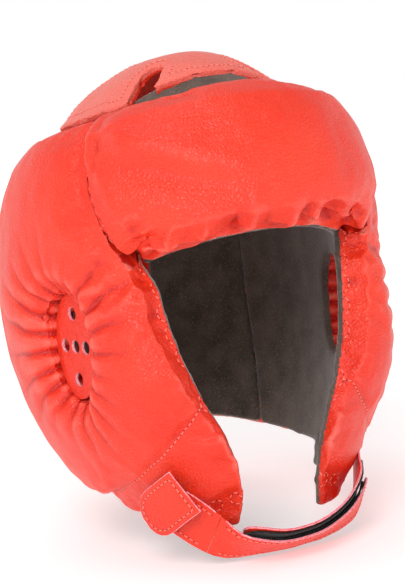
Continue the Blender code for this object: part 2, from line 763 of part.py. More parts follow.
def main():
    clear_scene()
    red = make_material("red_leatherette", RED, LEATHERETTE_ROUGHNESS)
    grey = make_material("grey_lining", GREY, CLOTH_ROUGHNESS)
    black = make_material("black_hook_and_loop", BLACK, CLOTH_ROUGHNESS)
    foam = make_material("foam", FOAM, CLOTH_ROUGHNESS)
    front_pad = Pad("front_pad", 1, front_outline, FRONT_PAD_THICKNESS, pillow, 16, 7)
    front_pad.build(red, foam, grey, FRONT_LINING_RISE)
    for label, side in (("left", 1), ("right", -1)):
        side_pad = Pad("side_pad_" + label, side, side_outline, SIDE_PAD_THICKNESS, cheek_pillow, 10, 12)
        ear_opening(side, label, side_pad.build(red, foam, grey), red)
        flap = Pad("cheek_flap_" + label, side, flap_outline, FLAP_THICKNESS, flap_depth, 8, 4)
        flap.build(red, foam, grey)
        rear_pad = Pad("rear_pad_" + label, side, rear_outline, REAR_PAD_THICKNESS, pillow, 5, 10)
        rear_pad.build(red, foam, grey)
    make_crown(red, foam, grey)
    make_chin_straps(red, black)
    make_keeper(red, black)
    make_nape_strap(red, black)


main()
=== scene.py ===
import math

import bmesh
import bpy
import numpy as np
from mathutils import Matrix, Vector, noise
from mathutils.bvhtree import BVHTree
from mathutils.kdtree import KDTree


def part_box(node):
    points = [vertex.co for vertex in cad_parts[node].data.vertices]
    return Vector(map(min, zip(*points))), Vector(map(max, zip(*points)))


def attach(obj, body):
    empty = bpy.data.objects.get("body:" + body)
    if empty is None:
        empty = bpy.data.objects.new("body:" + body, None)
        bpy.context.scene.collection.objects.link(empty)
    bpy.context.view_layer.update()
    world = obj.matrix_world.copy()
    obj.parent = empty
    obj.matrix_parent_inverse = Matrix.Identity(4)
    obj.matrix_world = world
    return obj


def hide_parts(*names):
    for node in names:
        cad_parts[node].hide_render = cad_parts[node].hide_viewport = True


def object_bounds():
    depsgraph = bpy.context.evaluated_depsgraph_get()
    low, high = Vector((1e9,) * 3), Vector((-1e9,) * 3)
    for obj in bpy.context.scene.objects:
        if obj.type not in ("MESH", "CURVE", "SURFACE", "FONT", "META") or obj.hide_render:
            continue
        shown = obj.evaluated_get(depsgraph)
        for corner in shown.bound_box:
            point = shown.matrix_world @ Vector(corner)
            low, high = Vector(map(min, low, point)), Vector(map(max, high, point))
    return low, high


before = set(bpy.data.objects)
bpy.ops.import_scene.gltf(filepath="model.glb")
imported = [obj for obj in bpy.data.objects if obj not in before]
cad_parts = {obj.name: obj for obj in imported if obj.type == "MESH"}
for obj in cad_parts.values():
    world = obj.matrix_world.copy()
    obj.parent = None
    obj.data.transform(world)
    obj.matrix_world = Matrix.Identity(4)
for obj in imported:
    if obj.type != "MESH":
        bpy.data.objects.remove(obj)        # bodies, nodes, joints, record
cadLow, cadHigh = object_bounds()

scene = bpy.context.scene
print("frame loaded:", len(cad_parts), "nodes")


# camera, three-quarter front, wearer's right towards us

cameraSettings = {
    "azimuth": -23.5,      # degrees round from straight ahead
    "elevation": 7.14,
    "roll": -6.05,
    "distance": 0.933,     # metres from the ears
    "right": -0.0036,
    "up": 0.01626,
    "lens": 95.05,         # mm
}


def makeCamera(settings):
    a = math.radians(settings["azimuth"])
    e = math.radians(settings["elevation"])
    r = math.radians(settings["roll"])
    ahead = Vector((-math.sin(a) * math.cos(e), math.cos(a) * math.cos(e), -math.sin(e)))
    level = ahead.cross(Vector((0, 0, 1))).normalized()
    rise = level.cross(ahead)
    right = level * math.cos(r) + rise * math.sin(r)
    up = rise * math.cos(r) - level * math.sin(r)
    place = -ahead * settings["distance"] + right * settings["right"] + up * settings["up"]
    bpy.ops.object.camera_add(location=place)
    camera = bpy.context.object
    turned = Matrix((right, up, -ahead)).transposed().to_4x4()
    camera.matrix_world = Matrix.Translation(place) @ turned
    camera.data.lens = settings["lens"]
    camera.data.clip_start = 0.05
    scene.camera = camera


makeCamera(cameraSettings)


# materials

def linear(hexColour):
    channels = [int(hexColour[i:i + 2], 16) / 255 for i in (0, 2, 4)]
    flat = [c / 12.92 if c <= 0.04045 else ((c + 0.055) / 1.055) ** 2.4 for c in channels]
    return (*flat, 1.0)


def addNode(tree, kind, links=None, inputs=None, **settings):
    made = tree.nodes.new(kind)
    for key, value in settings.items():
        setattr(made, key, value)
    for key, value in (inputs or {}).items():
        made.inputs[key].default_value = value
    for key, source in (links or {}).items():
        tree.links.new(source, made.inputs[key])
    return made


def startMaterial(name, inputs):
    material = bpy.data.materials.new(name)
    material.use_nodes = True
    tree = material.node_tree
    shader = tree.nodes["Principled BSDF"]
    for key, value in inputs.items():
        shader.inputs[key].default_value = value
    place = addNode(tree, "ShaderNodeTexCoord").outputs["Object"]
    return material, tree, shader, place


def mixColours(tree, share, first, second):
    links = {0: share} if not isinstance(share, float) else {}
    inputs = {0: share} if isinstance(share, float) else {}
    for index, colour in ((6, first), (7, second)):
        if isinstance(colour, tuple):
            inputs[index] = colour
        else:
            links[index] = colour
    return addNode(tree, "ShaderNodeMix", links, inputs, data_type="RGBA").outputs[2]


def ramp(tree, source, low, high):
    return addNode(tree, "ShaderNodeMapRange", {0: source},
                   {1: low, 2: high, 3: 0.0, 4: 1.0}).outputs[0]


leatheretteSettings = {
    "red": "ee2e0e",
    "deep": "c81606",          # painted shade, in the valleys of the gathers and the grain's grooves
    "pale": "ff6e5c",          # rubbed crests, partly a painted highlight
    "patch": "f63c1c",
    "paintedHighlight": "ffa898",        # painted highlight, paling the crown where the light falls brightest on it
    "grain": 0.0021,           # metres across one pebble, drawn a little coarse so that it shows
    "patchSize": 0.06,
}


def redLeatherette(name, settings, paintedHighlight=0.0):
    # PVC leatherette, embossed with a pebble grain: a soft satin gloss broken up by the grain,
    # painted shade in a deeper red in the valleys of the gathers and the grain's grooves, and a paler red
    # along the crests, partly rubbed wear and partly painted highlight
    material, tree, shader, place = startMaterial(name, {"IOR": 1.5, "Specular IOR Level": 0.5})
    wearAndShading = addNode(tree, "ShaderNodeAttribute", attribute_name="wearAndShading").outputs["Fac"]
    patches = addNode(tree, "ShaderNodeTexNoise", {"Vector": place},
                      {"Scale": 1 / settings["patchSize"], "Detail": 3.0}).outputs["Fac"]
    colour = mixColours(tree, ramp(tree, patches, 0.35, 0.7),
                        linear(settings["red"]), linear(settings["patch"]))
    # painted shade: a deeper red where the surface lies low in a valley; on the crests a paler red, partly
    # rubbed wear and partly painted highlight
    valley = ramp(tree, wearAndShading, -0.15, -1.0)
    crest = ramp(tree, wearAndShading, 0.25, 1.3)
    colour = mixColours(tree, valley, colour, linear(settings["deep"]))
    colour = mixColours(tree, crest, colour, linear(settings["pale"]))
    # painted highlight: the crown is paled all over, as the light falls brightest on it
    if paintedHighlight:
        colour = mixColours(tree, paintedHighlight, colour, linear(settings["paintedHighlight"]))
    bent = addNode(tree, "ShaderNodeTexNoise", {"Vector": place},
                   {"Scale": 1 / (settings["grain"] * 3), "Detail": 2.0}).outputs["Color"]
    shifted = addNode(tree, "ShaderNodeVectorMath", {0: bent}, {3: settings["grain"] * 1.2},
                      operation="SCALE").outputs[0]
    placed = addNode(tree, "ShaderNodeVectorMath", {0: place, 1: shifted}, operation="ADD").outputs[0]
    pebble = addNode(tree, "ShaderNodeTexVoronoi", {"Vector": placed}, {"Scale": 1 / settings["grain"]},
                     feature="DISTANCE_TO_EDGE").outputs["Distance"]
    pebble = ramp(tree, pebble, 0.0, 0.30)
    # painted shade: the grain's grooves take the deeper red
    groove = addNode(tree, "ShaderNodeMapRange", {0: pebble}, {3: 0.30, 4: 0.0}).outputs[0]
    colour = mixColours(tree, groove, colour, linear(settings["deep"]))
    folds = addNode(tree, "ShaderNodeTexNoise", {"Vector": place},
                    {"Scale": 46.0, "Detail": 1.5, "Roughness": 0.5}).outputs["Fac"]
    tree.links.new(addNode(tree, "ShaderNodeMapRange", {0: patches}, {3: 0.36, 4: 0.46}).outputs[0],
                   shader.inputs["Roughness"])
    soft = addNode(tree, "ShaderNodeBump", {"Height": folds}, {"Strength": 0.8, "Distance": 0.0026})
    grain = addNode(tree, "ShaderNodeBump", {"Height": pebble, "Normal": soft.outputs[0]},
                    {"Strength": 0.5, "Distance": 0.0005})
    tree.links.new(colour, shader.inputs["Base Color"])
    tree.links.new(grain.outputs[0], shader.inputs["Normal"])
    return material


def suedeLining():
    # brushed microfibre suede: a matt dark brown with a short uneven nap that catches light at the rim
    material, tree, shader, place = startMaterial("suedeLining", {"Sheen Weight": 0.5, "Roughness": 0.95})
    nap = addNode(tree, "ShaderNodeTexNoise", {"Vector": place},
                  {"Scale": 900.0, "Detail": 3.0}).outputs["Fac"]
    cloud = addNode(tree, "ShaderNodeTexNoise", {"Vector": place},
                    {"Scale": 70.0, "Detail": 3.0}).outputs["Fac"]
    colour = mixColours(tree, ramp(tree, cloud, 0.3, 0.7), linear("40372f"), linear("60544a"))
    colour = mixColours(tree, ramp(tree, nap, 0.55, 0.8), colour, linear("85786b"))
    bump = addNode(tree, "ShaderNodeBump", {"Height": nap}, {"Strength": 0.5, "Distance": 0.0006})
    tree.links.new(colour, shader.inputs["Base Color"])
    tree.links.new(bump.outputs[0], shader.inputs["Normal"])
    return material


def hookAndLoop(name, pitch):
    # woven nylon tape with hooks or loops standing on it: nearly black, no gloss, pale lint caught in it
    material, tree, shader, place = startMaterial(name, {"Roughness": 0.85, "Sheen Weight": 0.15})
    pile = addNode(tree, "ShaderNodeTexVoronoi", {"Vector": place}, {"Scale": 1 / pitch}).outputs["Distance"]
    lint = addNode(tree, "ShaderNodeTexNoise", {"Vector": place},
                   {"Scale": 700.0, "Detail": 2.0}).outputs["Fac"]
    # painted shade: the tape is darker low between the hooks or loops than on their raised tops
    colour = mixColours(tree, ramp(tree, pile, 0.1, 0.6), linear("1c1c1e"), linear("08080a"))
    colour = mixColours(tree, ramp(tree, lint, 0.74, 0.8), colour, linear("b8b2ae"))
    bump = addNode(tree, "ShaderNodeBump", {"Height": pile}, {"Strength": 0.8, "Distance": 0.0007})
    bump.invert = True
    tree.links.new(colour, shader.inputs["Base Color"])
    tree.links.new(bump.outputs[0], shader.inputs["Normal"])
    return material


def rawBacking():
    # knitted polyester backing at a cut edge: pale pink, fluffy, with red showing through
    material, tree, shader, place = startMaterial("rawBacking", {"Roughness": 0.9, "Sheen Weight": 0.3})
    fibre = addNode(tree, "ShaderNodeTexNoise", {"Vector": place},
                    {"Scale": 1100.0, "Detail": 3.0}).outputs["Fac"]
    colour = mixColours(tree, ramp(tree, fibre, 0.35, 0.65), linear("f0607a"), linear("ffc4cc"))
    bump = addNode(tree, "ShaderNodeBump", {"Height": fibre}, {"Strength": 0.6, "Distance": 0.0004})
    tree.links.new(colour, shader.inputs["Base Color"])
    tree.links.new(bump.outputs[0], shader.inputs["Normal"])
    return material


def twistedThread():
    # bonded polyester thread: red with a slight silky gloss, and the twist drawn as fine bands of painted
    # highlight
    material, tree, shader, place = startMaterial("twistedThread", {"Roughness": 0.45})
    twist = addNode(tree, "ShaderNodeTexWave", {"Vector": place},
                    {"Scale": 900.0, "Distortion": 2.0}).outputs["Fac"]
    # painted highlight: the paler bands stand for light caught on the twist
    colour = mixColours(tree, twist, linear("ff5a48"), linear("ffa698"))
    bump = addNode(tree, "ShaderNodeBump", {"Height": twist}, {"Strength": 0.3, "Distance": 0.0002})
    tree.links.new(colour, shader.inputs["Base Color"])
    tree.links.new(bump.outputs[0], shader.inputs["Normal"])
    return material


def needleHoleShade():
    # painted shade: the dark inside a needle hole in leatherette, drawn as a dark bead
    material, tree, shader, place = startMaterial("needleHoleShade", {"Roughness": 0.9})
    cloud = addNode(tree, "ShaderNodeTexNoise", {"Vector": place}, {"Scale": 400.0}).outputs["Fac"]
    tree.links.new(mixColours(tree, cloud, linear("4a0806"), linear("7a120c")), shader.inputs["Base Color"])
    return material


red = redLeatherette("pebbledLeatherette", leatheretteSettings)
# the crown's copy adds a painted highlight over its outer face
crownRed = redLeatherette("pebbledLeatheretteCrown", leatheretteSettings, 0.4)
suede = suedeLining()
hooks = hookAndLoop("nylonHooks", 0.0012)
loops = hookAndLoop("nylonLoops", 0.0009)
backing = rawBacking()
thread = twistedThread()
hole = needleHoleShade()
print("materials made")


# mesh helpers

def clearSelection():
    bpy.ops.object.select_all(action="DESELECT")


def select(obj):
    clearSelection()
    obj.select_set(True)
    bpy.context.view_layer.objects.active = obj


def getPoints(obj):
    flat = np.empty(len(obj.data.vertices) * 3, np.float32)
    obj.data.vertices.foreach_get("co", flat)
    return flat.reshape(-1, 3).astype(np.float64)


def setPoints(obj, values):
    obj.data.vertices.foreach_set("co", values.astype(np.float32).ravel())
    obj.data.update()


def getNormals(obj):
    flat = np.empty(len(obj.data.vertices) * 3, np.float32)
    obj.data.vertex_normals.foreach_get("vector", flat)
    return flat.reshape(-1, 3).astype(np.float64)


def cadCopy(nodeNames, name):
    # one new object from copies of CAD nodes, with their doubles merged
    builder = bmesh.new()
    for nodeName in nodeNames:
        builder.from_mesh(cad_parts[nodeName].data)
    bmesh.ops.remove_doubles(builder, verts=builder.verts, dist=1e-5)
    mesh = bpy.data.meshes.new(name)
    builder.to_mesh(mesh)
    builder.free()
    obj = bpy.data.objects.new(name, mesh)
    scene.collection.objects.link(obj)
    select(obj)
    return obj


def treeOf(nodeNames):
    builder = bmesh.new()
    for nodeName in nodeNames:
        builder.from_mesh(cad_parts[nodeName].data)
    tree = BVHTree.FromBMesh(builder)
    builder.free()
    return tree


def nearestOn(tree, values, reach=0.06):
    # nearest point and distance for each value, and the reach where nothing is nearer
    near = np.array(values)
    far = np.full(len(values), reach)
    for k, value in enumerate(values):
        found = tree.find_nearest(value, reach)
        if found[0] is not None:
            near[k] = found[0]
            far[k] = found[3]
    return near, far


def modify(obj, kind, **settings):
    modifier = obj.modifiers.new(kind.lower(), kind)
    for key, value in settings.items():
        setattr(modifier, key, value)
    select(obj)
    bpy.ops.object.modifier_apply(modifier=modifier.name)


def remesh(obj, voxel, smoothing):
    select(obj)
    obj.data.remesh_voxel_size = voxel
    bpy.ops.object.voxel_remesh()
    modify(obj, "SMOOTH", factor=0.5, iterations=smoothing)


clothSettings = {
    "quality": 5,
    "mass": 0.2,              # kg per point
    "stiffness": 12,
    "bending": 0.6,
    "steps": 20,
}


def swell(obj, sewn, pressure, slack, cap):
    # the cover swells over its foam like cloth, held where it is sewn down
    steps = clothSettings["steps"]
    group = obj.vertex_groups.new(name="sewn")
    group.add([int(k) for k in np.nonzero(sewn)[0]], 1.0, "REPLACE")
    cloth = obj.modifiers.new("swell", "CLOTH")
    settings = cloth.settings
    settings.quality = clothSettings["quality"]
    settings.mass = clothSettings["mass"]
    settings.tension_stiffness = clothSettings["stiffness"]
    settings.compression_stiffness = clothSettings["stiffness"]
    settings.bending_stiffness = clothSettings["bending"]
    settings.use_pressure = True
    settings.uniform_pressure_force = pressure
    settings.shrink_min = -slack
    settings.vertex_group_mass = "sewn"
    settings.effector_weights.gravity = 0
    cloth.point_cache.frame_start = 1
    cloth.point_cache.frame_end = steps
    before = getPoints(obj)
    for step in range(1, steps + 1):
        scene.frame_set(step)
    evaluated = obj.evaluated_get(bpy.context.evaluated_depsgraph_get())
    flat = np.empty(len(before) * 3, np.float32)
    evaluated.data.vertices.foreach_get("co", flat)
    moved = flat.reshape(-1, 3) - before
    length = np.linalg.norm(moved, axis=1)
    limited = cap * np.tanh(length / cap)
    obj.modifiers.remove(cloth)
    obj.vertex_groups.remove(group)
    scene.frame_set(1)
    setPoints(obj, before + moved * (limited / np.maximum(length, 1e-9))[:, None])


def bump01(distance, reach):
    # 1 at distance 0, easing to 0 at the reach
    share = np.clip(1 - distance / reach, 0, 1)
    return share * share * (3 - 2 * share)


def billow(values, size, seed):
    # rounded puffs with sharp valleys between them, from 0 in a valley to 1 on a puff
    offset = Vector((seed * 3.1, seed * 1.7, seed * 2.3))
    found = [noise.noise(Vector(value) / size + offset) for value in values]
    return np.clip(np.abs(np.array(found)) * 2.6, 0, 1)


def waves(values, size, seed):
    offset = Vector((seed * 2.9, seed * 1.3, seed * 3.7))
    return np.array([noise.noise(Vector(value) / size + offset) for value in values])


def spreader(obj):
    # a function that gives each point the mean of its neighbours' values
    count = len(obj.data.vertices)
    pairs = np.empty(len(obj.data.edges) * 2, np.int32)
    obj.data.edges.foreach_get("vertices", pairs)
    pairs = pairs.reshape(-1, 2)
    degree = np.bincount(pairs.ravel(), minlength=count).clip(1)

    def spread(values):
        total = np.zeros_like(values)
        np.add.at(total, pairs[:, 0], values[pairs[:, 1]])
        np.add.at(total, pairs[:, 1], values[pairs[:, 0]])
        return total / (degree[:, None] if values.ndim == 2 else degree)

    return spread


def relax(obj, values, share, passes):
    # smooths the points where the share is above 0
    spread = spreader(obj)
    for _ in range(passes):
        values = values + (spread(values) - values) * share[:, None]
    return values


def setWearAndShading(obj, passes=3, gain=1.0):
    # how far each point stands above or below its neighbours: crests above 0, valleys below
    spread = spreader(obj)
    here = getPoints(obj)
    around = here
    for _ in range(passes):
        around = spread(around)
    height = ((here - around) * getNormals(obj)).sum(axis=1)
    height = 0.5 * height + 0.5 * spread(height)
    # kept as an attribute that drives painted shade in the valleys and a paler red on the crests, partly
    # rubbed wear and partly painted highlight
    attribute = obj.data.attributes.new("wearAndShading", "FLOAT", "POINT")
    attribute.data.foreach_set("value", (height * gain / 0.0004).astype(np.float32))


def contour(obj, field, level, keep):
    # lines across a mesh where a field has a level, as lists of (point, normal)
    mesh = obj.data
    mesh.calc_loop_triangles()
    corners = np.empty(len(mesh.loop_triangles) * 3, np.int32)
    mesh.loop_triangles.foreach_get("vertices", corners)
    corners = corners.reshape(-1, 3)
    above = field > level
    crossed = corners[(above[corners].sum(axis=1) % 3) != 0]
    places, facing = getPoints(obj), getNormals(obj)
    spots, links = {}, {}
    for triangle in crossed:
        ends = []
        for a, b in ((0, 1), (1, 2), (2, 0)):
            i, j = sorted((int(triangle[a]), int(triangle[b])))
            if above[i] != above[j]:
                share = (level - field[i]) / (field[j] - field[i])
                spots[i, j] = (places[i] + (places[j] - places[i]) * share,
                               facing[i] + (facing[j] - facing[i]) * share)
                ends.append((i, j))
        if len(ends) == 2 and all(keep(*spots[end]) for end in ends):
            links.setdefault(ends[0], []).append(ends[1])
            links.setdefault(ends[1], []).append(ends[0])
    lines, used = [], set()
    for start in sorted(links, key=lambda key: (len(links[key]), key)):
        if start in used:
            continue
        line, current = [], start
        while current is not None:
            used.add(current)
            line.append(spots[current])
            after = [other for other in links[current] if other not in used]
            current = after[0] if after else None
        lines.append(line)
    return lines


stitchSettings = {
    "pitch": 0.0034,
    "length": 0.0026,
    "thickness": 0.00075,
    "hole": 0.0008,
    "shortest": 0.012,        # lines shorter than this are dropped
    "slant": 0,               # degrees between a stitch and its line
}


def unitBead():
    clearSelection()
    bpy.ops.mesh.primitive_uv_sphere_add(segments=6, ring_count=4, radius=1.0)
    bead = bpy.context.object
    verts = [vertex.co.copy() for vertex in bead.data.vertices]
    faces = [tuple(polygon.vertices) for polygon in bead.data.polygons]
    bpy.data.objects.remove(bead)
    return verts, faces


beadVerts, beadFaces = unitBead()


def sewLines(name, lines, body, settings=stitchSettings, lift=0.0001):
    # thread stitches, and dark beads of painted shade at the needle holes, along lines of (point, normal)
    verts, faces, slots = [], [], []

    def addBead(centre, along, out, half, wide, tall, slot):
        across = along.cross(out)
        first = len(verts)
        for vertex in beadVerts:
            verts.append(centre + along * vertex.z * half + across * vertex.x * wide + out * vertex.y * tall)
        for face in beadFaces:
            faces.append([first + index for index in face])
            slots.append(slot)

    for line in lines:
        places = [Vector(point) for point, _ in line]
        lengths = [0.0]
        for here, after in zip(places, places[1:]):
            lengths.append(lengths[-1] + (after - here).length)
        if lengths[-1] < settings["shortest"]:
            continue
        count = max(1, int(lengths[-1] / settings["pitch"]))

        def at(distance):
            index = min(max(int(np.searchsorted(lengths, distance)), 1), len(lengths) - 1)
            span = max(lengths[index] - lengths[index - 1], 1e-9)
            share = min(max((distance - lengths[index - 1]) / span, 0), 1)
            out = Vector(line[index][1]).normalized()
            return places[index - 1].lerp(places[index], share), out

        for k in range(count):
            middle = (k + 0.5) * lengths[-1] / count
            here, out = at(middle)
            along = (at(middle + settings["pitch"] / 2)[0] - at(middle - settings["pitch"] / 2)[0])
            if along.length < 1e-6:
                continue
            along = (along - out * along.dot(out)).normalized()
            along.rotate(Matrix.Rotation(math.radians(settings["slant"]), 3, out))
            thick = settings["thickness"] / 2
            addBead(here + out * lift, along, out, settings["length"] / 2, thick, thick, 0)
            # a dark bead of painted shade at each needle hole
            gap, gapOut = at(k * lengths[-1] / count)
            radius = settings["hole"] / 2
            addBead(gap, along, gapOut, radius, radius, radius * 0.5, 1)
    if not verts:
        return None
    mesh = bpy.data.meshes.new(name)
    mesh.from_pydata(verts, [], faces)
    mesh.materials.append(thread)
    mesh.materials.append(hole)
    mesh.polygons.foreach_set("material_index", slots)
    mesh.shade_smooth()
    obj = bpy.data.objects.new(name, mesh)
    scene.collection.objects.link(obj)
    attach(obj, body)
    return obj


def paint(obj, materials, choose=None):
    # materials in slots, and which slot each face takes
    obj.data.materials.clear()
    for material in materials:
        obj.data.materials.append(material)
    obj.data.polygons.foreach_set("use_smooth", [True] * len(obj.data.polygons))
    if choose is not None:
        obj.data.polygons.foreach_set("material_index", choose)
    obj.data.update()


def faceMeans(obj, field):
    # each face's mean of a value held by points
    mesh = obj.data
    index = np.empty(len(mesh.loops), np.int32)
    mesh.loops.foreach_get("vertex_index", index)
    start = np.empty(len(mesh.polygons), np.int32)
    total = np.empty(len(mesh.polygons), np.int32)
    mesh.polygons.foreach_get("loop_start", start)
    mesh.polygons.foreach_get("loop_total", total)
    return np.add.reduceat(field[index], start) / total


def mirrored(obj, name):
    # the same piece for the wearer's other side, with its own mesh
    mesh = obj.data.copy()
    twin = bpy.data.objects.new(name, mesh)
    scene.collection.objects.link(twin)
    values = getPoints(twin)
    values[:, 0] *= -1
    setPoints(twin, values)
    mesh.flip_normals()
    return twin


# ear opening: its frame, from the CAD panel

def earOf(label):
    values = getPoints(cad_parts["ear_panel_" + label])
    centre = (values.min(axis=0) + values.max(axis=0)) / 2
    spread = values - centre
    _, _, axes = np.linalg.svd(spread, full_matrices=False)
    up = axes[0] * np.sign(axes[0][2])
    out = axes[2] * np.sign(axes[2][0] * centre[0])
    across = np.cross(up, out)
    across *= -np.sign(across[1])
    return {
        "centre": centre, "up": up, "out": out, "across": across,
        "halfHeight": np.abs(spread @ up).max(), "halfWidth": np.abs(spread @ across).max(),
    }


def earPlace(ear, values):
    # distance outside the oval rim, then the place across and up from its centre
    rel = values - ear["centre"]
    x, y = rel @ ear["across"], rel @ ear["up"]
    q = np.sqrt((x / ear["halfWidth"]) ** 2 + (y / ear["halfHeight"]) ** 2).clip(1e-6)
    away = np.sqrt(x * x + y * y) * (1 - 1 / q)
    return away, x, y


# pads

padSettings = {
    "voxel": 0.0028,
    "smoothing": 5,
    "pressure": 5.0,
    "slack": 0.03,        # spare cloth, as a share
    "cap": 0.006,         # metres that the cover may rise
    "sewnWidth": 0.004,
}


def startPad(name, nodes, linings, neighbours, settings=padSettings):
    pad = cadCopy(nodes, name)
    remesh(pad, settings["voxel"], settings["smoothing"])
    values = getPoints(pad)
    sewn = nearestOn(treeOf(linings), values, 0.02)[1] < settings["sewnWidth"]
    sewn |= nearestOn(treeOf(neighbours), values, 0.02)[1] < settings["sewnWidth"] * 1.6
    swell(pad, sewn, settings["pressure"], settings["slack"], settings["cap"])
    modify(pad, "SUBSURF", levels=1, render_levels=1)
    return pad


def skinOver(nodes):
    # one smooth surface over several pads, which their covers meet at the seams
    skin = cadCopy(nodes, "skin")
    remesh(skin, 0.003, 5)
    tree = BVHTree.FromObject(skin, bpy.context.evaluated_depsgraph_get())
    bpy.data.objects.remove(skin)
    return tree


def meetFlush(pad, neighbours, linings, floorHeight=-1.0, reach=0.012, depth=0.0075):
    # brings the rounded edge of a pad out to the shared surface, so that its seam is a fine line
    values = getPoints(pad)
    seam = nearestOn(treeOf(neighbours), values, 0.02)[1]
    inner = nearestOn(treeOf(linings), values, 0.03)[1]
    near, far = nearestOn(skinTree, values, 0.012)
    share = bump01(np.maximum(seam - 0.005, 0), reach - 0.005)
    share *= np.clip((depth * 1.3 - far) / (depth * 0.3), 0, 1)
    share *= np.clip((inner - 0.004) / 0.003, 0, 1) * (far < 0.012)
    share *= np.clip((values[:, 2] - floorHeight) / 0.008, 0, 1)
    setPoints(pad, values + (near - values) * share[:, None])


def keepClear(values, moved, tree, gap=0.0004):
    # shortens a move that would go into a neighbour
    near, far = nearestOn(tree, values, 0.012)
    towards = (near - values) / np.maximum(far, 1e-6)[:, None]
    step = (moved * towards).sum(axis=1)
    room = np.maximum(far - gap, 0)
    over = np.maximum(step - room, 0) * (far < 0.012)
    return moved - towards * over[:, None]


def finishPad(pad, nodes, linings, body):
    values = getPoints(pad)
    inside = nearestOn(treeOf(linings), values, 0.02)[1]
    setWearAndShading(pad)
    slots = (faceMeans(pad, inside) < 0.0026).astype(int)
    paint(pad, [red, suede], slots)
    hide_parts(*nodes)
    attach(pad, body)


def layers(base):
    return [base + "_cover", base + "_foam", base + "_lining"]


skinNodes = [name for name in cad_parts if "pad" in name or "cheek" in name]
skinTree = skinOver(skinNodes)


# forehead pad

frontSettings = {
    "gatherDepth": 0.0052,
    "gatherSize": 0.021,
    "gatherReach": 0.022,
    "smallDepth": 0.0018,
    "smallSize": 0.009,
    "seamDepth": 0.0004,
    "seamReach": 0.0022,
    "stitchIn": 0.0026,       # from the seam to its stitches
    "creaseDepth": 0.0038,
    "creaseWidth": 0.009,
    "scallop": 0.0042,        # how far the lower edge dips between gathers
    "pleatWidth": 0.0024,
    # pleats fanned out from the lower corners: height over the corner, turn in degrees, length, depth
    "pleats": ((0.008, 12, 0.040, 0.0020), (0.010, 30, 0.034, 0.0022), (0.013, 52, 0.028, 0.0018)),
}


def valley(along, off, length, width):
    # a crease that starts at 0 along a line and fades out at its length
    fade = np.clip(1 - along / length, 0, 1) ** 0.8 * np.clip((along + 0.004) / 0.004, 0, 1)
    spread = width * (1 + 1.2 * np.clip(along / length, 0, 1))
    return fade * np.exp(-np.abs(off / spread) ** 1.3)


def makeFrontPad(settings):
    nodes = layers("front_pad")[:2]
    neighbours = ["side_pad_left_cover", "side_pad_right_cover"]
    linings = ["front_pad_lining"]
    pad = startPad("front_pad", nodes, linings, neighbours)
    low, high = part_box("front_pad_cover")
    meetFlush(pad, neighbours, linings, low.z + 0.003)
    values = getPoints(pad)
    atCorner = bump01(np.abs(values[:, 2] - low.z - 0.003), 0.022)
    atCorner *= bump01(nearestOn(treeOf(neighbours), values, 0.02)[1], 0.018)
    setPoints(pad, relax(pad, values, 0.6 * atCorner, 14))
    values, normals = getPoints(pad), getNormals(pad)
    lowerRim = values[:, 2] - (low.z + 0.010 * (1 - (values[:, 0] / high.x) ** 2) + 0.004)
    underside = np.clip(lowerRim, 0, None)
    foot = values.copy()
    foot[:, 2] = low.z
    foot[:, 1] = low.y
    puffs = billow(foot, settings["gatherSize"], 4)
    small = billow(foot + 0.0001, settings["smallSize"], 9)
    near = bump01(underside, settings["gatherReach"])
    depth = settings["gatherDepth"] * (1 - puffs) * near
    depth += settings["smallDepth"] * (1 - small) * bump01(underside, settings["gatherReach"] * 0.6)
    for side in (1, -1):
        for rise, turn, length, deep in settings["pleats"]:
            corner = (side * high.x * 0.93, low.z + rise)
            angle = math.radians(turn)
            dx, dz = values[:, 0] - corner[0], values[:, 2] - corner[1]
            across, upward = -side * math.cos(angle), math.sin(angle)
            along, off = dx * across + dz * upward, dx * upward - dz * across
            depth += deep * (side * values[:, 0] > 0) * valley(along, off, length, settings["pleatWidth"])
    inner = 1 - np.clip((np.abs(values[:, 0]) / high.x - 0.80) / 0.12, 0, 1)
    depth *= 1 - (1 - inner) * near
    moved = -normals * depth[:, None]
    moved[:, 2] -= settings["scallop"] * (puffs - 0.5) * bump01(underside, 0.010) * inner
    seam = nearestOn(treeOf(neighbours), values, 0.02)[1]
    moved -= normals * (settings["seamDepth"] * bump01(seam, settings["seamReach"]))[:, None]
    start = Vector((low.x * 0.86, -0.045, (low.z + high.z) / 2 + 0.012))
    end = Vector((low.x * 0.18, low.y, (low.z + high.z) / 2 - 0.012))
    line = np.array(end - start)
    share = ((values - np.array(start)) @ line / (line @ line)).clip(0, 1)
    off = values - np.array(start) - share[:, None] * line
    crease = np.exp(-((off[:, 2] + 0.2 * off[:, 0]) / settings["creaseWidth"]) ** 2)
    ridge = np.exp(-((off[:, 2] + 0.2 * off[:, 0] - 0.012) / settings["creaseWidth"]) ** 2)
    fade = np.sin(math.pi * share) ** 0.6
    moved += normals * (settings["creaseDepth"] * (ridge - crease) * fade)[:, None]
    moved += normals * (0.0011 * waves(values, 0.05, 2) + 0.0006 * waves(values, 0.018, 3))[:, None]
    outer = nearestOn(treeOf(linings), values, 0.03)[1]
    moved *= np.clip((outer - 0.002) / 0.006, 0, 1)[:, None]
    values = values + keepClear(values, moved, treeOf(neighbours))
    setPoints(pad, relax(pad, values, 0.5 * atCorner, 4))
    finishPad(pad, nodes, linings, "headgear")
    seamGap = nearestOn(treeOf(neighbours), getPoints(pad), 0.03)[1]
    linedTree = treeOf(linings)

    def onTop(point, normal):
        return linedTree.find_nearest(point)[3] > 0.020 and point[2] > low.z + 0.02

    wide = dict(stitchSettings, pitch=0.0075, length=0.0030, thickness=0.0006, slant=50)
    sewLines("forehead_seam", contour(pad, seamGap, settings["stitchIn"], onTop), "headgear", wide)


makeFrontPad(frontSettings)
print("forehead pad made")


# side pads

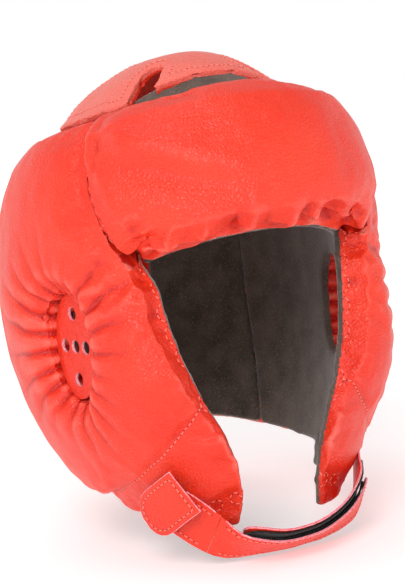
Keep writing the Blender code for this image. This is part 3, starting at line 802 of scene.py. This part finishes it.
sideSettings = {
    "earFunnel": 0.0075,        # how far the pad rolls in at the ear
    "earFunnelReach": 0.017,
    "gatherWidth": 0.0023,
    # gathers about the ear: turn in degrees (0 to the face, 90 up), length, depth
    "gathers": ((64, 0.036, 0.0034), (47, 0.044, 0.0050), (30, 0.052, 0.0062), (14, 0.046, 0.0054),
                (-1, 0.042, 0.0048), (-16, 0.036, 0.0040), (-31, 0.040, 0.0042), (-47, 0.050, 0.0038),
                (-62, 0.054, 0.0038), (-78, 0.048, 0.0034), (-97, 0.038, 0.0028), (-120, 0.030, 0.0032),
                (-140, 0.042, 0.0042), (-158, 0.052, 0.0046), (-175, 0.056, 0.0048), (168, 0.056, 0.0046),
                (151, 0.050, 0.0044), (133, 0.042, 0.0038), (115, 0.046, 0.0030), (97, 0.050, 0.0026),
                (80, 0.036, 0.0018)),
    "ridge": 0.0014,            # the long soft ridge along the face opening
    "ridgeAt": 0.024,
    "ridgeWidth": 0.0035,
    "hemDepth": 0.0026,
    "hemWidth": 0.0055,
    "edgeGather": 0.0012,
    "edgeGatherSize": 0.008,
    "stitchIn": 0.0062,         # from the face opening to its stitches
    "seamDepth": 0.0004,
    "seamReach": 0.0022,
}


def sideNeighbours(label):
    return ["front_pad_cover", "rear_pad_" + label + "_cover"]


def sideLinings(label):
    return ["side_pad_" + label + "_lining", "cheek_flap_" + label + "_lining"]


def faceEdge(values, label):
    # distance from the free edge at the face opening, read from the lining's front rim
    rims = []
    for node in ("side_pad_", "cheek_flap_"):
        points = getPoints(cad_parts[node + label + "_lining"])
        for height in np.unique(np.round(points[:, 2], 3)):
            level = points[np.abs(points[:, 2] - height) < 0.0025]
            rims.append(level[level[:, 1].argmin()])
    rims = np.array(sorted(rims, key=lambda point: point[2]))
    rims = rims[rims[:, 2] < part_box("front_pad_cover")[0].z + 0.004]
    heights = np.linspace(rims[0, 2], rims[-1, 2], 60)
    line = np.stack([np.interp(heights, rims[:, 2], rims[:, axis]) for axis in range(3)], axis=1)
    gaps = np.linalg.norm(values[:, None, :] - line[None, :, :], axis=2)
    return gaps.min(axis=1), line[gaps.argmin(axis=1)]


def shapeSidePad(pad, label, seed, settings):
    values, normals = getPoints(pad), getNormals(pad)
    ear = earOf(label)
    away, x, y = earPlace(ear, values)
    outer = nearestOn(treeOf(sideLinings(label)), values, 0.04)[1]
    outward = np.clip((outer - 0.003) / 0.006, 0, 1)
    funnel = bump01(away, settings["earFunnelReach"]) ** 1.3
    moved = -np.outer(settings["earFunnel"] * funnel * outward, ear["out"])
    depth = np.zeros(len(values))
    wobble = 0.0016 * waves(values, 0.02, seed)
    for turn, length, deep in settings["gathers"]:
        angle = math.radians(turn + (seed % 5))
        cx, cy = ear["halfWidth"] * math.cos(angle), ear["halfHeight"] * math.sin(angle)
        radial = Vector((cx, cy)).normalized()
        square = Vector((math.cos(angle) / ear["halfWidth"],
                         math.sin(angle) / ear["halfHeight"])).normalized()
        ahead = (radial + square).normalized()
        dx, dy = x - cx, y - cy
        along, off = dx * ahead.x + dy * ahead.y, dx * ahead.y - dy * ahead.x + wobble
        depth += deep * valley(along, off, length, settings["gatherWidth"])
    moved -= normals * (depth * outward)[:, None]
    gap, foot = faceEdge(values, label)
    hem = bump01(gap, settings["hemWidth"] * 2)
    moved -= normals * (settings["hemDepth"] * hem * outward)[:, None]
    small = 1 - billow(foot, settings["edgeGatherSize"], seed + 5)
    moved -= normals * (settings["edgeGather"] * small * bump01(gap, 0.02) * outward)[:, None]
    crest = np.exp(-((gap - settings["ridgeAt"]) / settings["ridgeWidth"]) ** 2)
    crest *= np.clip((0.045 - values[:, 2]) / 0.02, 0, 1)
    moved += normals * (settings["ridge"] * crest * outward)[:, None]
    tree = treeOf(sideNeighbours(label))
    seam = nearestOn(tree, values, 0.02)[1]
    moved -= normals * (settings["seamDepth"] * bump01(seam, settings["seamReach"]) * outward)[:, None]
    both = 0.0012 * waves(values, 0.045, seed) + 0.0006 * waves(values, 0.016, seed + 1)
    moved += normals * (both * outward)[:, None]
    setPoints(pad, values + keepClear(values, moved, tree))


def sewSide(pad, label, settings):
    # the diagonal seam over the cheek, and the stitching along the face opening
    values = getPoints(pad)
    flap = nearestOn(treeOf(["cheek_flap_" + label + "_cover"]), values, 0.05)[1]
    upper = nearestOn(treeOf(["side_pad_" + label + "_cover"]), values, 0.05)[1]
    linings = treeOf(sideLinings(label))

    def onTop(point, normal):
        return linings.find_nearest(point)[3] > 0.004

    lines = contour(pad, flap - upper, 0.0, onTop)
    sewLines("cheek_seam_" + label, lines, "headgear")
    gap, _ = faceEdge(values, label)

    def onWall(point, normal):
        return linings.find_nearest(point)[3] > 0.0028

    lines = contour(pad, gap, settings["stitchIn"], onWall)
    sewLines("face_edge_stitch_" + label, lines, "headgear")


def makeSidePads(settings):
    nodes = layers("side_pad_right") + layers("cheek_flap_right")
    pad = startPad("side_pad_right", nodes, sideLinings("right"), sideNeighbours("right"))
    meetFlush(pad, sideNeighbours("right"), sideLinings("right"))
    twin = mirrored(pad, "side_pad_left")
    for piece, label, seed in ((pad, "right", 11), (twin, "left", 17)):
        shapeSidePad(piece, label, seed, settings)
        finishPad(piece, [node.replace("right", label) for node in nodes], sideLinings(label),
                  "headgear")
        sewSide(piece, label, settings)


makeSidePads(sideSettings)
print("side pads made")


# rear pads

rearSettings = {
    "gatherDepth": 0.0020,
    "gatherSize": 0.012,
    "gatherReach": 0.024,
    "seamDepth": 0.0007,
    "seamReach": 0.0022,
}


def makeRearPads(settings):
    linings = ["rear_pad_right_lining"]
    pad = startPad("rear_pad_right", layers("rear_pad_right"), linings, ["side_pad_right_cover"])
    meetFlush(pad, ["side_pad_right_cover"], linings)
    twin = mirrored(pad, "rear_pad_left")
    for piece, label, seed in ((pad, "right", 31), (twin, "left", 37)):
        values, normals = getPoints(piece), getNormals(piece)
        outer = nearestOn(treeOf(["rear_pad_" + label + "_lining"]), values, 0.04)[1]
        outward = np.clip((outer - 0.003) / 0.006, 0, 1)
        tree = treeOf(["side_pad_" + label + "_cover"])
        near, seam = nearestOn(tree, values, 0.03)
        gathers = (1 - billow(near, settings["gatherSize"], seed)) * bump01(seam, settings["gatherReach"])
        depth = settings["gatherDepth"] * gathers
        depth += settings["seamDepth"] * bump01(seam, settings["seamReach"])
        moved = -normals * (depth * outward)[:, None]
        both = 0.0014 * waves(values, 0.045, seed) + 0.0007 * waves(values, 0.016, seed + 1)
        moved += normals * (both * outward)[:, None]
        setPoints(piece, values + keepClear(values, moved, tree))
        finishPad(piece, layers("rear_pad_" + label), ["rear_pad_" + label + "_lining"], "headgear")


makeRearPads(rearSettings)
print("rear pads made")


# crown

crownSettings = {
    "swell": 0.0012,
    "seat": 0.006,            # metres that the edge leans towards the pads to rest on them
    "seatReach": 0.020,
    "stitchIn": 0.0055,       # from the edge to its stitches
}


def makeCrown(settings):
    nodes = layers("crown")
    crown = cadCopy(nodes, "crown")
    remesh(crown, 0.0021, 3)
    modify(crown, "SUBSURF", levels=1, render_levels=1)
    values, normals = getPoints(crown), getNormals(crown)
    inside = nearestOn(treeOf(["crown_lining"]), values, 0.02)[1]
    outward = np.clip((inside - 0.002) / 0.003, 0, 1)
    moved = normals * (settings["swell"] * waves(values, 0.035, 5) * outward)[:, None]
    pads = treeOf([name for name in skinNodes if name.endswith(("cover", "lining"))])
    gap = nearestOn(pads, values, 0.03)[1]
    _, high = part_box("crown_cover")
    ahead = values - np.array((0.0, 0.01, high.z - 0.09))
    ahead[:, 2] = -np.abs(ahead[:, 2]) * 0.6
    ahead /= np.linalg.norm(ahead, axis=1)[:, None]
    reach = settings["seat"] * bump01(gap, settings["seatReach"])
    reach *= np.clip((values[:, 1] + 0.05) / 0.03, 0, 1)
    for k in np.nonzero(reach > 0.0002)[0]:
        hit = pads.ray_cast(Vector(values[k]), Vector(ahead[k]), 0.02)
        if hit[0] is not None:
            reach[k] = min(reach[k], max(hit[3] - 0.0005, 0))
    setPoints(crown, values + moved + ahead * reach[:, None])
    setWearAndShading(crown, 3, 0.6)
    # the outer face takes the crown copy with its painted highlight
    paint(crown, [crownRed, red], (faceMeans(crown, inside) < 0.0014).astype(int))
    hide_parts(*nodes)
    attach(crown, "headgear")
    # stitching along the vents: a set distance in from the edge, where the outer face turns over
    turned = np.abs((getNormals(crown) * outwardFrom(values)).sum(axis=1)) < 0.6
    edges = KDTree(int(turned.sum()))
    for k in np.nonzero(turned)[0]:
        edges.insert(values[k], int(k))
    edges.balance()
    field = np.array([edges.find(value)[2] for value in values])

    def onTop(point, normal):
        return normal[2] * 0.5 + normal @ (np.array(point) * (1, 1, 0.4)) > 0 and point[2] > 0.095

    sewLines("crown_stitch", contour(crown, field, settings["stitchIn"], onTop), "headgear")


def outwardFrom(values):
    # unit vectors away from the middle of the head
    out = values - np.array((0.0, 0.012, 0.03))
    return out / np.linalg.norm(out, axis=1)[:, None]


makeCrown(crownSettings)
print("crown made")


# forehead lining, which stands up behind the pad's top edge

browSettings = {"rise": 0.0060, "from": 0.016, "wave": 0.0008}


def makeBrowLining(settings):
    band = cadCopy(["front_pad_lining"], "front_lining")
    remesh(band, 0.0009, 1)
    values = getPoints(band)
    _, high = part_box("front_pad_lining")
    share = np.clip((values[:, 2] - high.z + settings["from"]) / settings["from"], 0, 1)
    inward = np.clip(1 - (values[:, 0] / high.x) ** 4, 0, 1)
    values[:, 2] += settings["rise"] * share * inward
    values[:, 2] += settings["wave"] * share * waves(values * (1, 1, 0), 0.02, 8)
    values[:, 1] += 0.0010 * share * inward
    setPoints(band, values)
    paint(band, [suede])
    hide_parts("front_pad_lining")
    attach(band, "headgear")


makeBrowLining(browSettings)


# perforated ear panels

def makeEarPanel(label):
    name = "ear_panel_" + label
    panel = cadCopy([name], "ear_cup_" + label)
    modify(panel, "DECIMATE", decimate_type="DISSOLVE", angle_limit=math.radians(6))
    modify(panel, "BEVEL", width=0.0004, segments=2, limit_method="ANGLE")
    ear = earOf(label)
    away = earPlace(ear, getPoints(panel))[0]
    means = faceMeans(panel, np.abs(getNormals(panel) @ ear["out"]))
    rim = faceMeans(panel, away) > -0.002
    paint(panel, [red, backing], ((means < 0.6) & ~rim).astype(int))
    panel.data.shade_smooth()
    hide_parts(name)
    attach(panel, "headgear")


for label in ("left", "right"):
    makeEarPanel(label)
print("ear panels made")


# straps

strapSettings = {"edge": 0.0003, "ripple": 0.0005, "stitchIn": 0.0032}


def quadsOf(obj):
    select(obj)
    bpy.ops.object.mode_set(mode="EDIT")
    bpy.ops.mesh.select_all(action="SELECT")
    bpy.ops.mesh.tris_convert_to_quads(face_threshold=math.radians(35), shape_threshold=math.radians(60))
    bpy.ops.object.mode_set(mode="OBJECT")


def edgeDistance(values, node):
    # distance to the cut edges of a flat CAD strap, whose narrow faces stand square to its broad ones
    builder = bmesh.new()
    builder.from_mesh(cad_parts[node].data)
    bmesh.ops.remove_doubles(builder, verts=builder.verts, dist=1e-5)
    builder.normal_update()
    sharp = [edge for edge in builder.edges if len(edge.link_faces) == 2
             and edge.calc_face_angle() > math.radians(50)]
    spots = [edge.verts[0].co.lerp(edge.verts[1].co, k / 12) for edge in sharp for k in range(13)]
    builder.free()
    tree = KDTree(len(spots))
    for k, spot in enumerate(spots):
        tree.insert(spot, k)
    tree.balance()
    return np.array([tree.find(value)[2] for value in values])


def makeStrap(name, node, face, body, slotName, seed, rawEdges=True, ripple=None, joinTo=None,
              stitched=False):
    strap = cadCopy([node], name)
    quadsOf(strap)
    modify(strap, "BEVEL", width=strapSettings["edge"], segments=1, limit_method="ANGLE",
           angle_limit=math.radians(50))
    modify(strap, "SUBSURF", subdivision_type="SIMPLE", levels=3, render_levels=3)
    values = getPoints(strap)
    rim = edgeDistance(values, node)
    depth = strapSettings["ripple"] if ripple is None else ripple
    values = values + np.outer(depth * waves(values, 0.016, seed), np.array((0, 0, 1.0)))
    joined = np.ones(len(values))
    if joinTo is not None:
        near, joined = nearestOn(treeOf([joinTo]), values, 0.008)
        values += (near - values) * (np.clip((0.0042 - joined) / 0.0004, 0, 1) * 0.47)[:, None]
    setPoints(strap, values)
    setWearAndShading(strap, 3, 0.5)
    cut = (faceMeans(strap, rim) < 0.0005) & (faceMeans(strap, joined) > 0.0045)
    paint(strap, [face, backing if rawEdges else face], cut.astype(int))
    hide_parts(node)
    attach(strap, body)
    if stitched:
        joinTree = treeOf([joinTo or node])

        def outside(point, normal):
            if joinTo is not None and joinTree.find_nearest(point)[3] < 0.006:
                return False
            return normal @ (np.array(point) - np.array((0.0, 0.012, -0.03))) > 0

        lines = contour(strap, rim, strapSettings["stitchIn"], outside)
        sewLines(name + "_stitch", lines, body)


# name, CAD node, face, body, slot, seed, then what differs from a plain cut strap
straps = (
    ("chin_strap_outer", "chin_strap", red, "chin_strap", "leatherette", 41,
     {"joinTo": "chin_strap_anchor", "stitched": True}),
    ("chin_strap_root", "chin_strap_anchor", red, "headgear", "leatherette", 41,
     {"joinTo": "chin_strap", "stitched": True}),
    ("chin_strap_hooks", "chin_strap_hook_tape", hooks, "chin_strap", "hook_and_loop", 41,
     {"rawEdges": False}),
    ("chin_strap_inner", "left_strap", red, "left_strap", "leatherette", 41, {}),
    ("chin_strap_loops", "left_strap_loop_tape", loops, "left_strap", "hook_and_loop", 41,
     {"rawEdges": False}),
    ("keeper_leather", "keeper_tab", red, "keeper", "leatherette", 47, {"ripple": 0.0, "stitched": True}),
    ("keeper_hooks", "keeper_hook_tape", hooks, "keeper", "hook_and_loop", 47,
     {"rawEdges": False, "ripple": 0.0}),
    ("nape_leather", "nape_strap", red, "nape_strap", "leatherette", 53, {"ripple": 0.0, "stitched": True}),
    ("nape_hooks", "nape_hook_tape", hooks, "nape_strap", "hook_and_loop", 53,
     {"rawEdges": False, "ripple": 0.0}),
    ("nape_loops", "nape_loop_patch", loops, "headgear", "hook_and_loop", 53,
     {"rawEdges": False, "ripple": 0.0}),
)
for *row, options in straps:
    makeStrap(*row, **options)
print("straps made")


# studio: pale floor, soft light

studioSettings = {
    "horizon": 1.0,
    "zenith": 0.40,
    "key": 17.0,
    "fill": 1.6,
    "top": 5.0,
    "nearGlow": 0.32,      # the floor's own light under the piece and far from it
    "farGlow": 0.72,
}


def areaLight(name, place, size, power):
    bpy.ops.object.light_add(type="AREA", location=place)
    light = bpy.context.object
    light.name = name
    light.data.size = size
    light.data.energy = power
    light.rotation_euler = (-Vector(place)).to_track_quat("-Z", "Y").to_euler()


def makeStudio(settings):
    clearSelection()
    bpy.ops.mesh.primitive_plane_add(size=12.0, location=(0, 0, cadLow.z - 0.002))
    floor = bpy.context.object
    floor.name = "floor"
    # matt white paper sweep: no gloss, a faint cloud in its tone, and its own glow as painted light, dimmer
    # under the piece and brighter away from it
    paper, tree, shader, place = startMaterial("matPaper", {"Roughness": 0.8, "Emission Color": (1, 1, 1, 1)})
    away = addNode(tree, "ShaderNodeVectorMath", {0: place}, operation="LENGTH").outputs["Value"]
    tree.links.new(addNode(tree, "ShaderNodeMapRange", {0: away},
                           {1: 0.35, 2: 1.6, 3: settings["nearGlow"], 4: settings["farGlow"]}).outputs[0],
                   shader.inputs["Emission Strength"])
    cloud = addNode(tree, "ShaderNodeTexNoise", {"Vector": place}, {"Scale": 3.0}).outputs["Fac"]
    tree.links.new(mixColours(tree, cloud, linear("f4f4f4"), linear("fbfbfb")),
                   shader.inputs["Base Color"])
    floor.data.materials.append(paper)
    world = bpy.data.worlds.new("studio")
    world.use_nodes = True
    tree = world.node_tree
    background = tree.nodes["Background"]
    background.inputs["Color"].default_value = (1, 1, 1, 1)
    ahead = addNode(tree, "ShaderNodeTexCoord").outputs["Generated"]
    rise = addNode(tree, "ShaderNodeSeparateXYZ", {0: ahead}).outputs["Z"]
    tree.links.new(addNode(tree, "ShaderNodeMapRange", {0: rise},
                           {1: 0.2, 2: 0.6, 3: settings["horizon"], 4: settings["zenith"]}).outputs[0],
                   background.inputs["Strength"])
    scene.world = world
    areaLight("key", (-0.9, -1.3, 1.1), 0.9, settings["key"])
    areaLight("fill", (1.3, -1.0, 0.5), 1.2, settings["fill"])
    areaLight("top", (-0.2, 0.3, 1.5), 1.0, settings["top"])
    scene.view_settings.view_transform = "Standard"


makeStudio(studioSettings)
print("studio made")
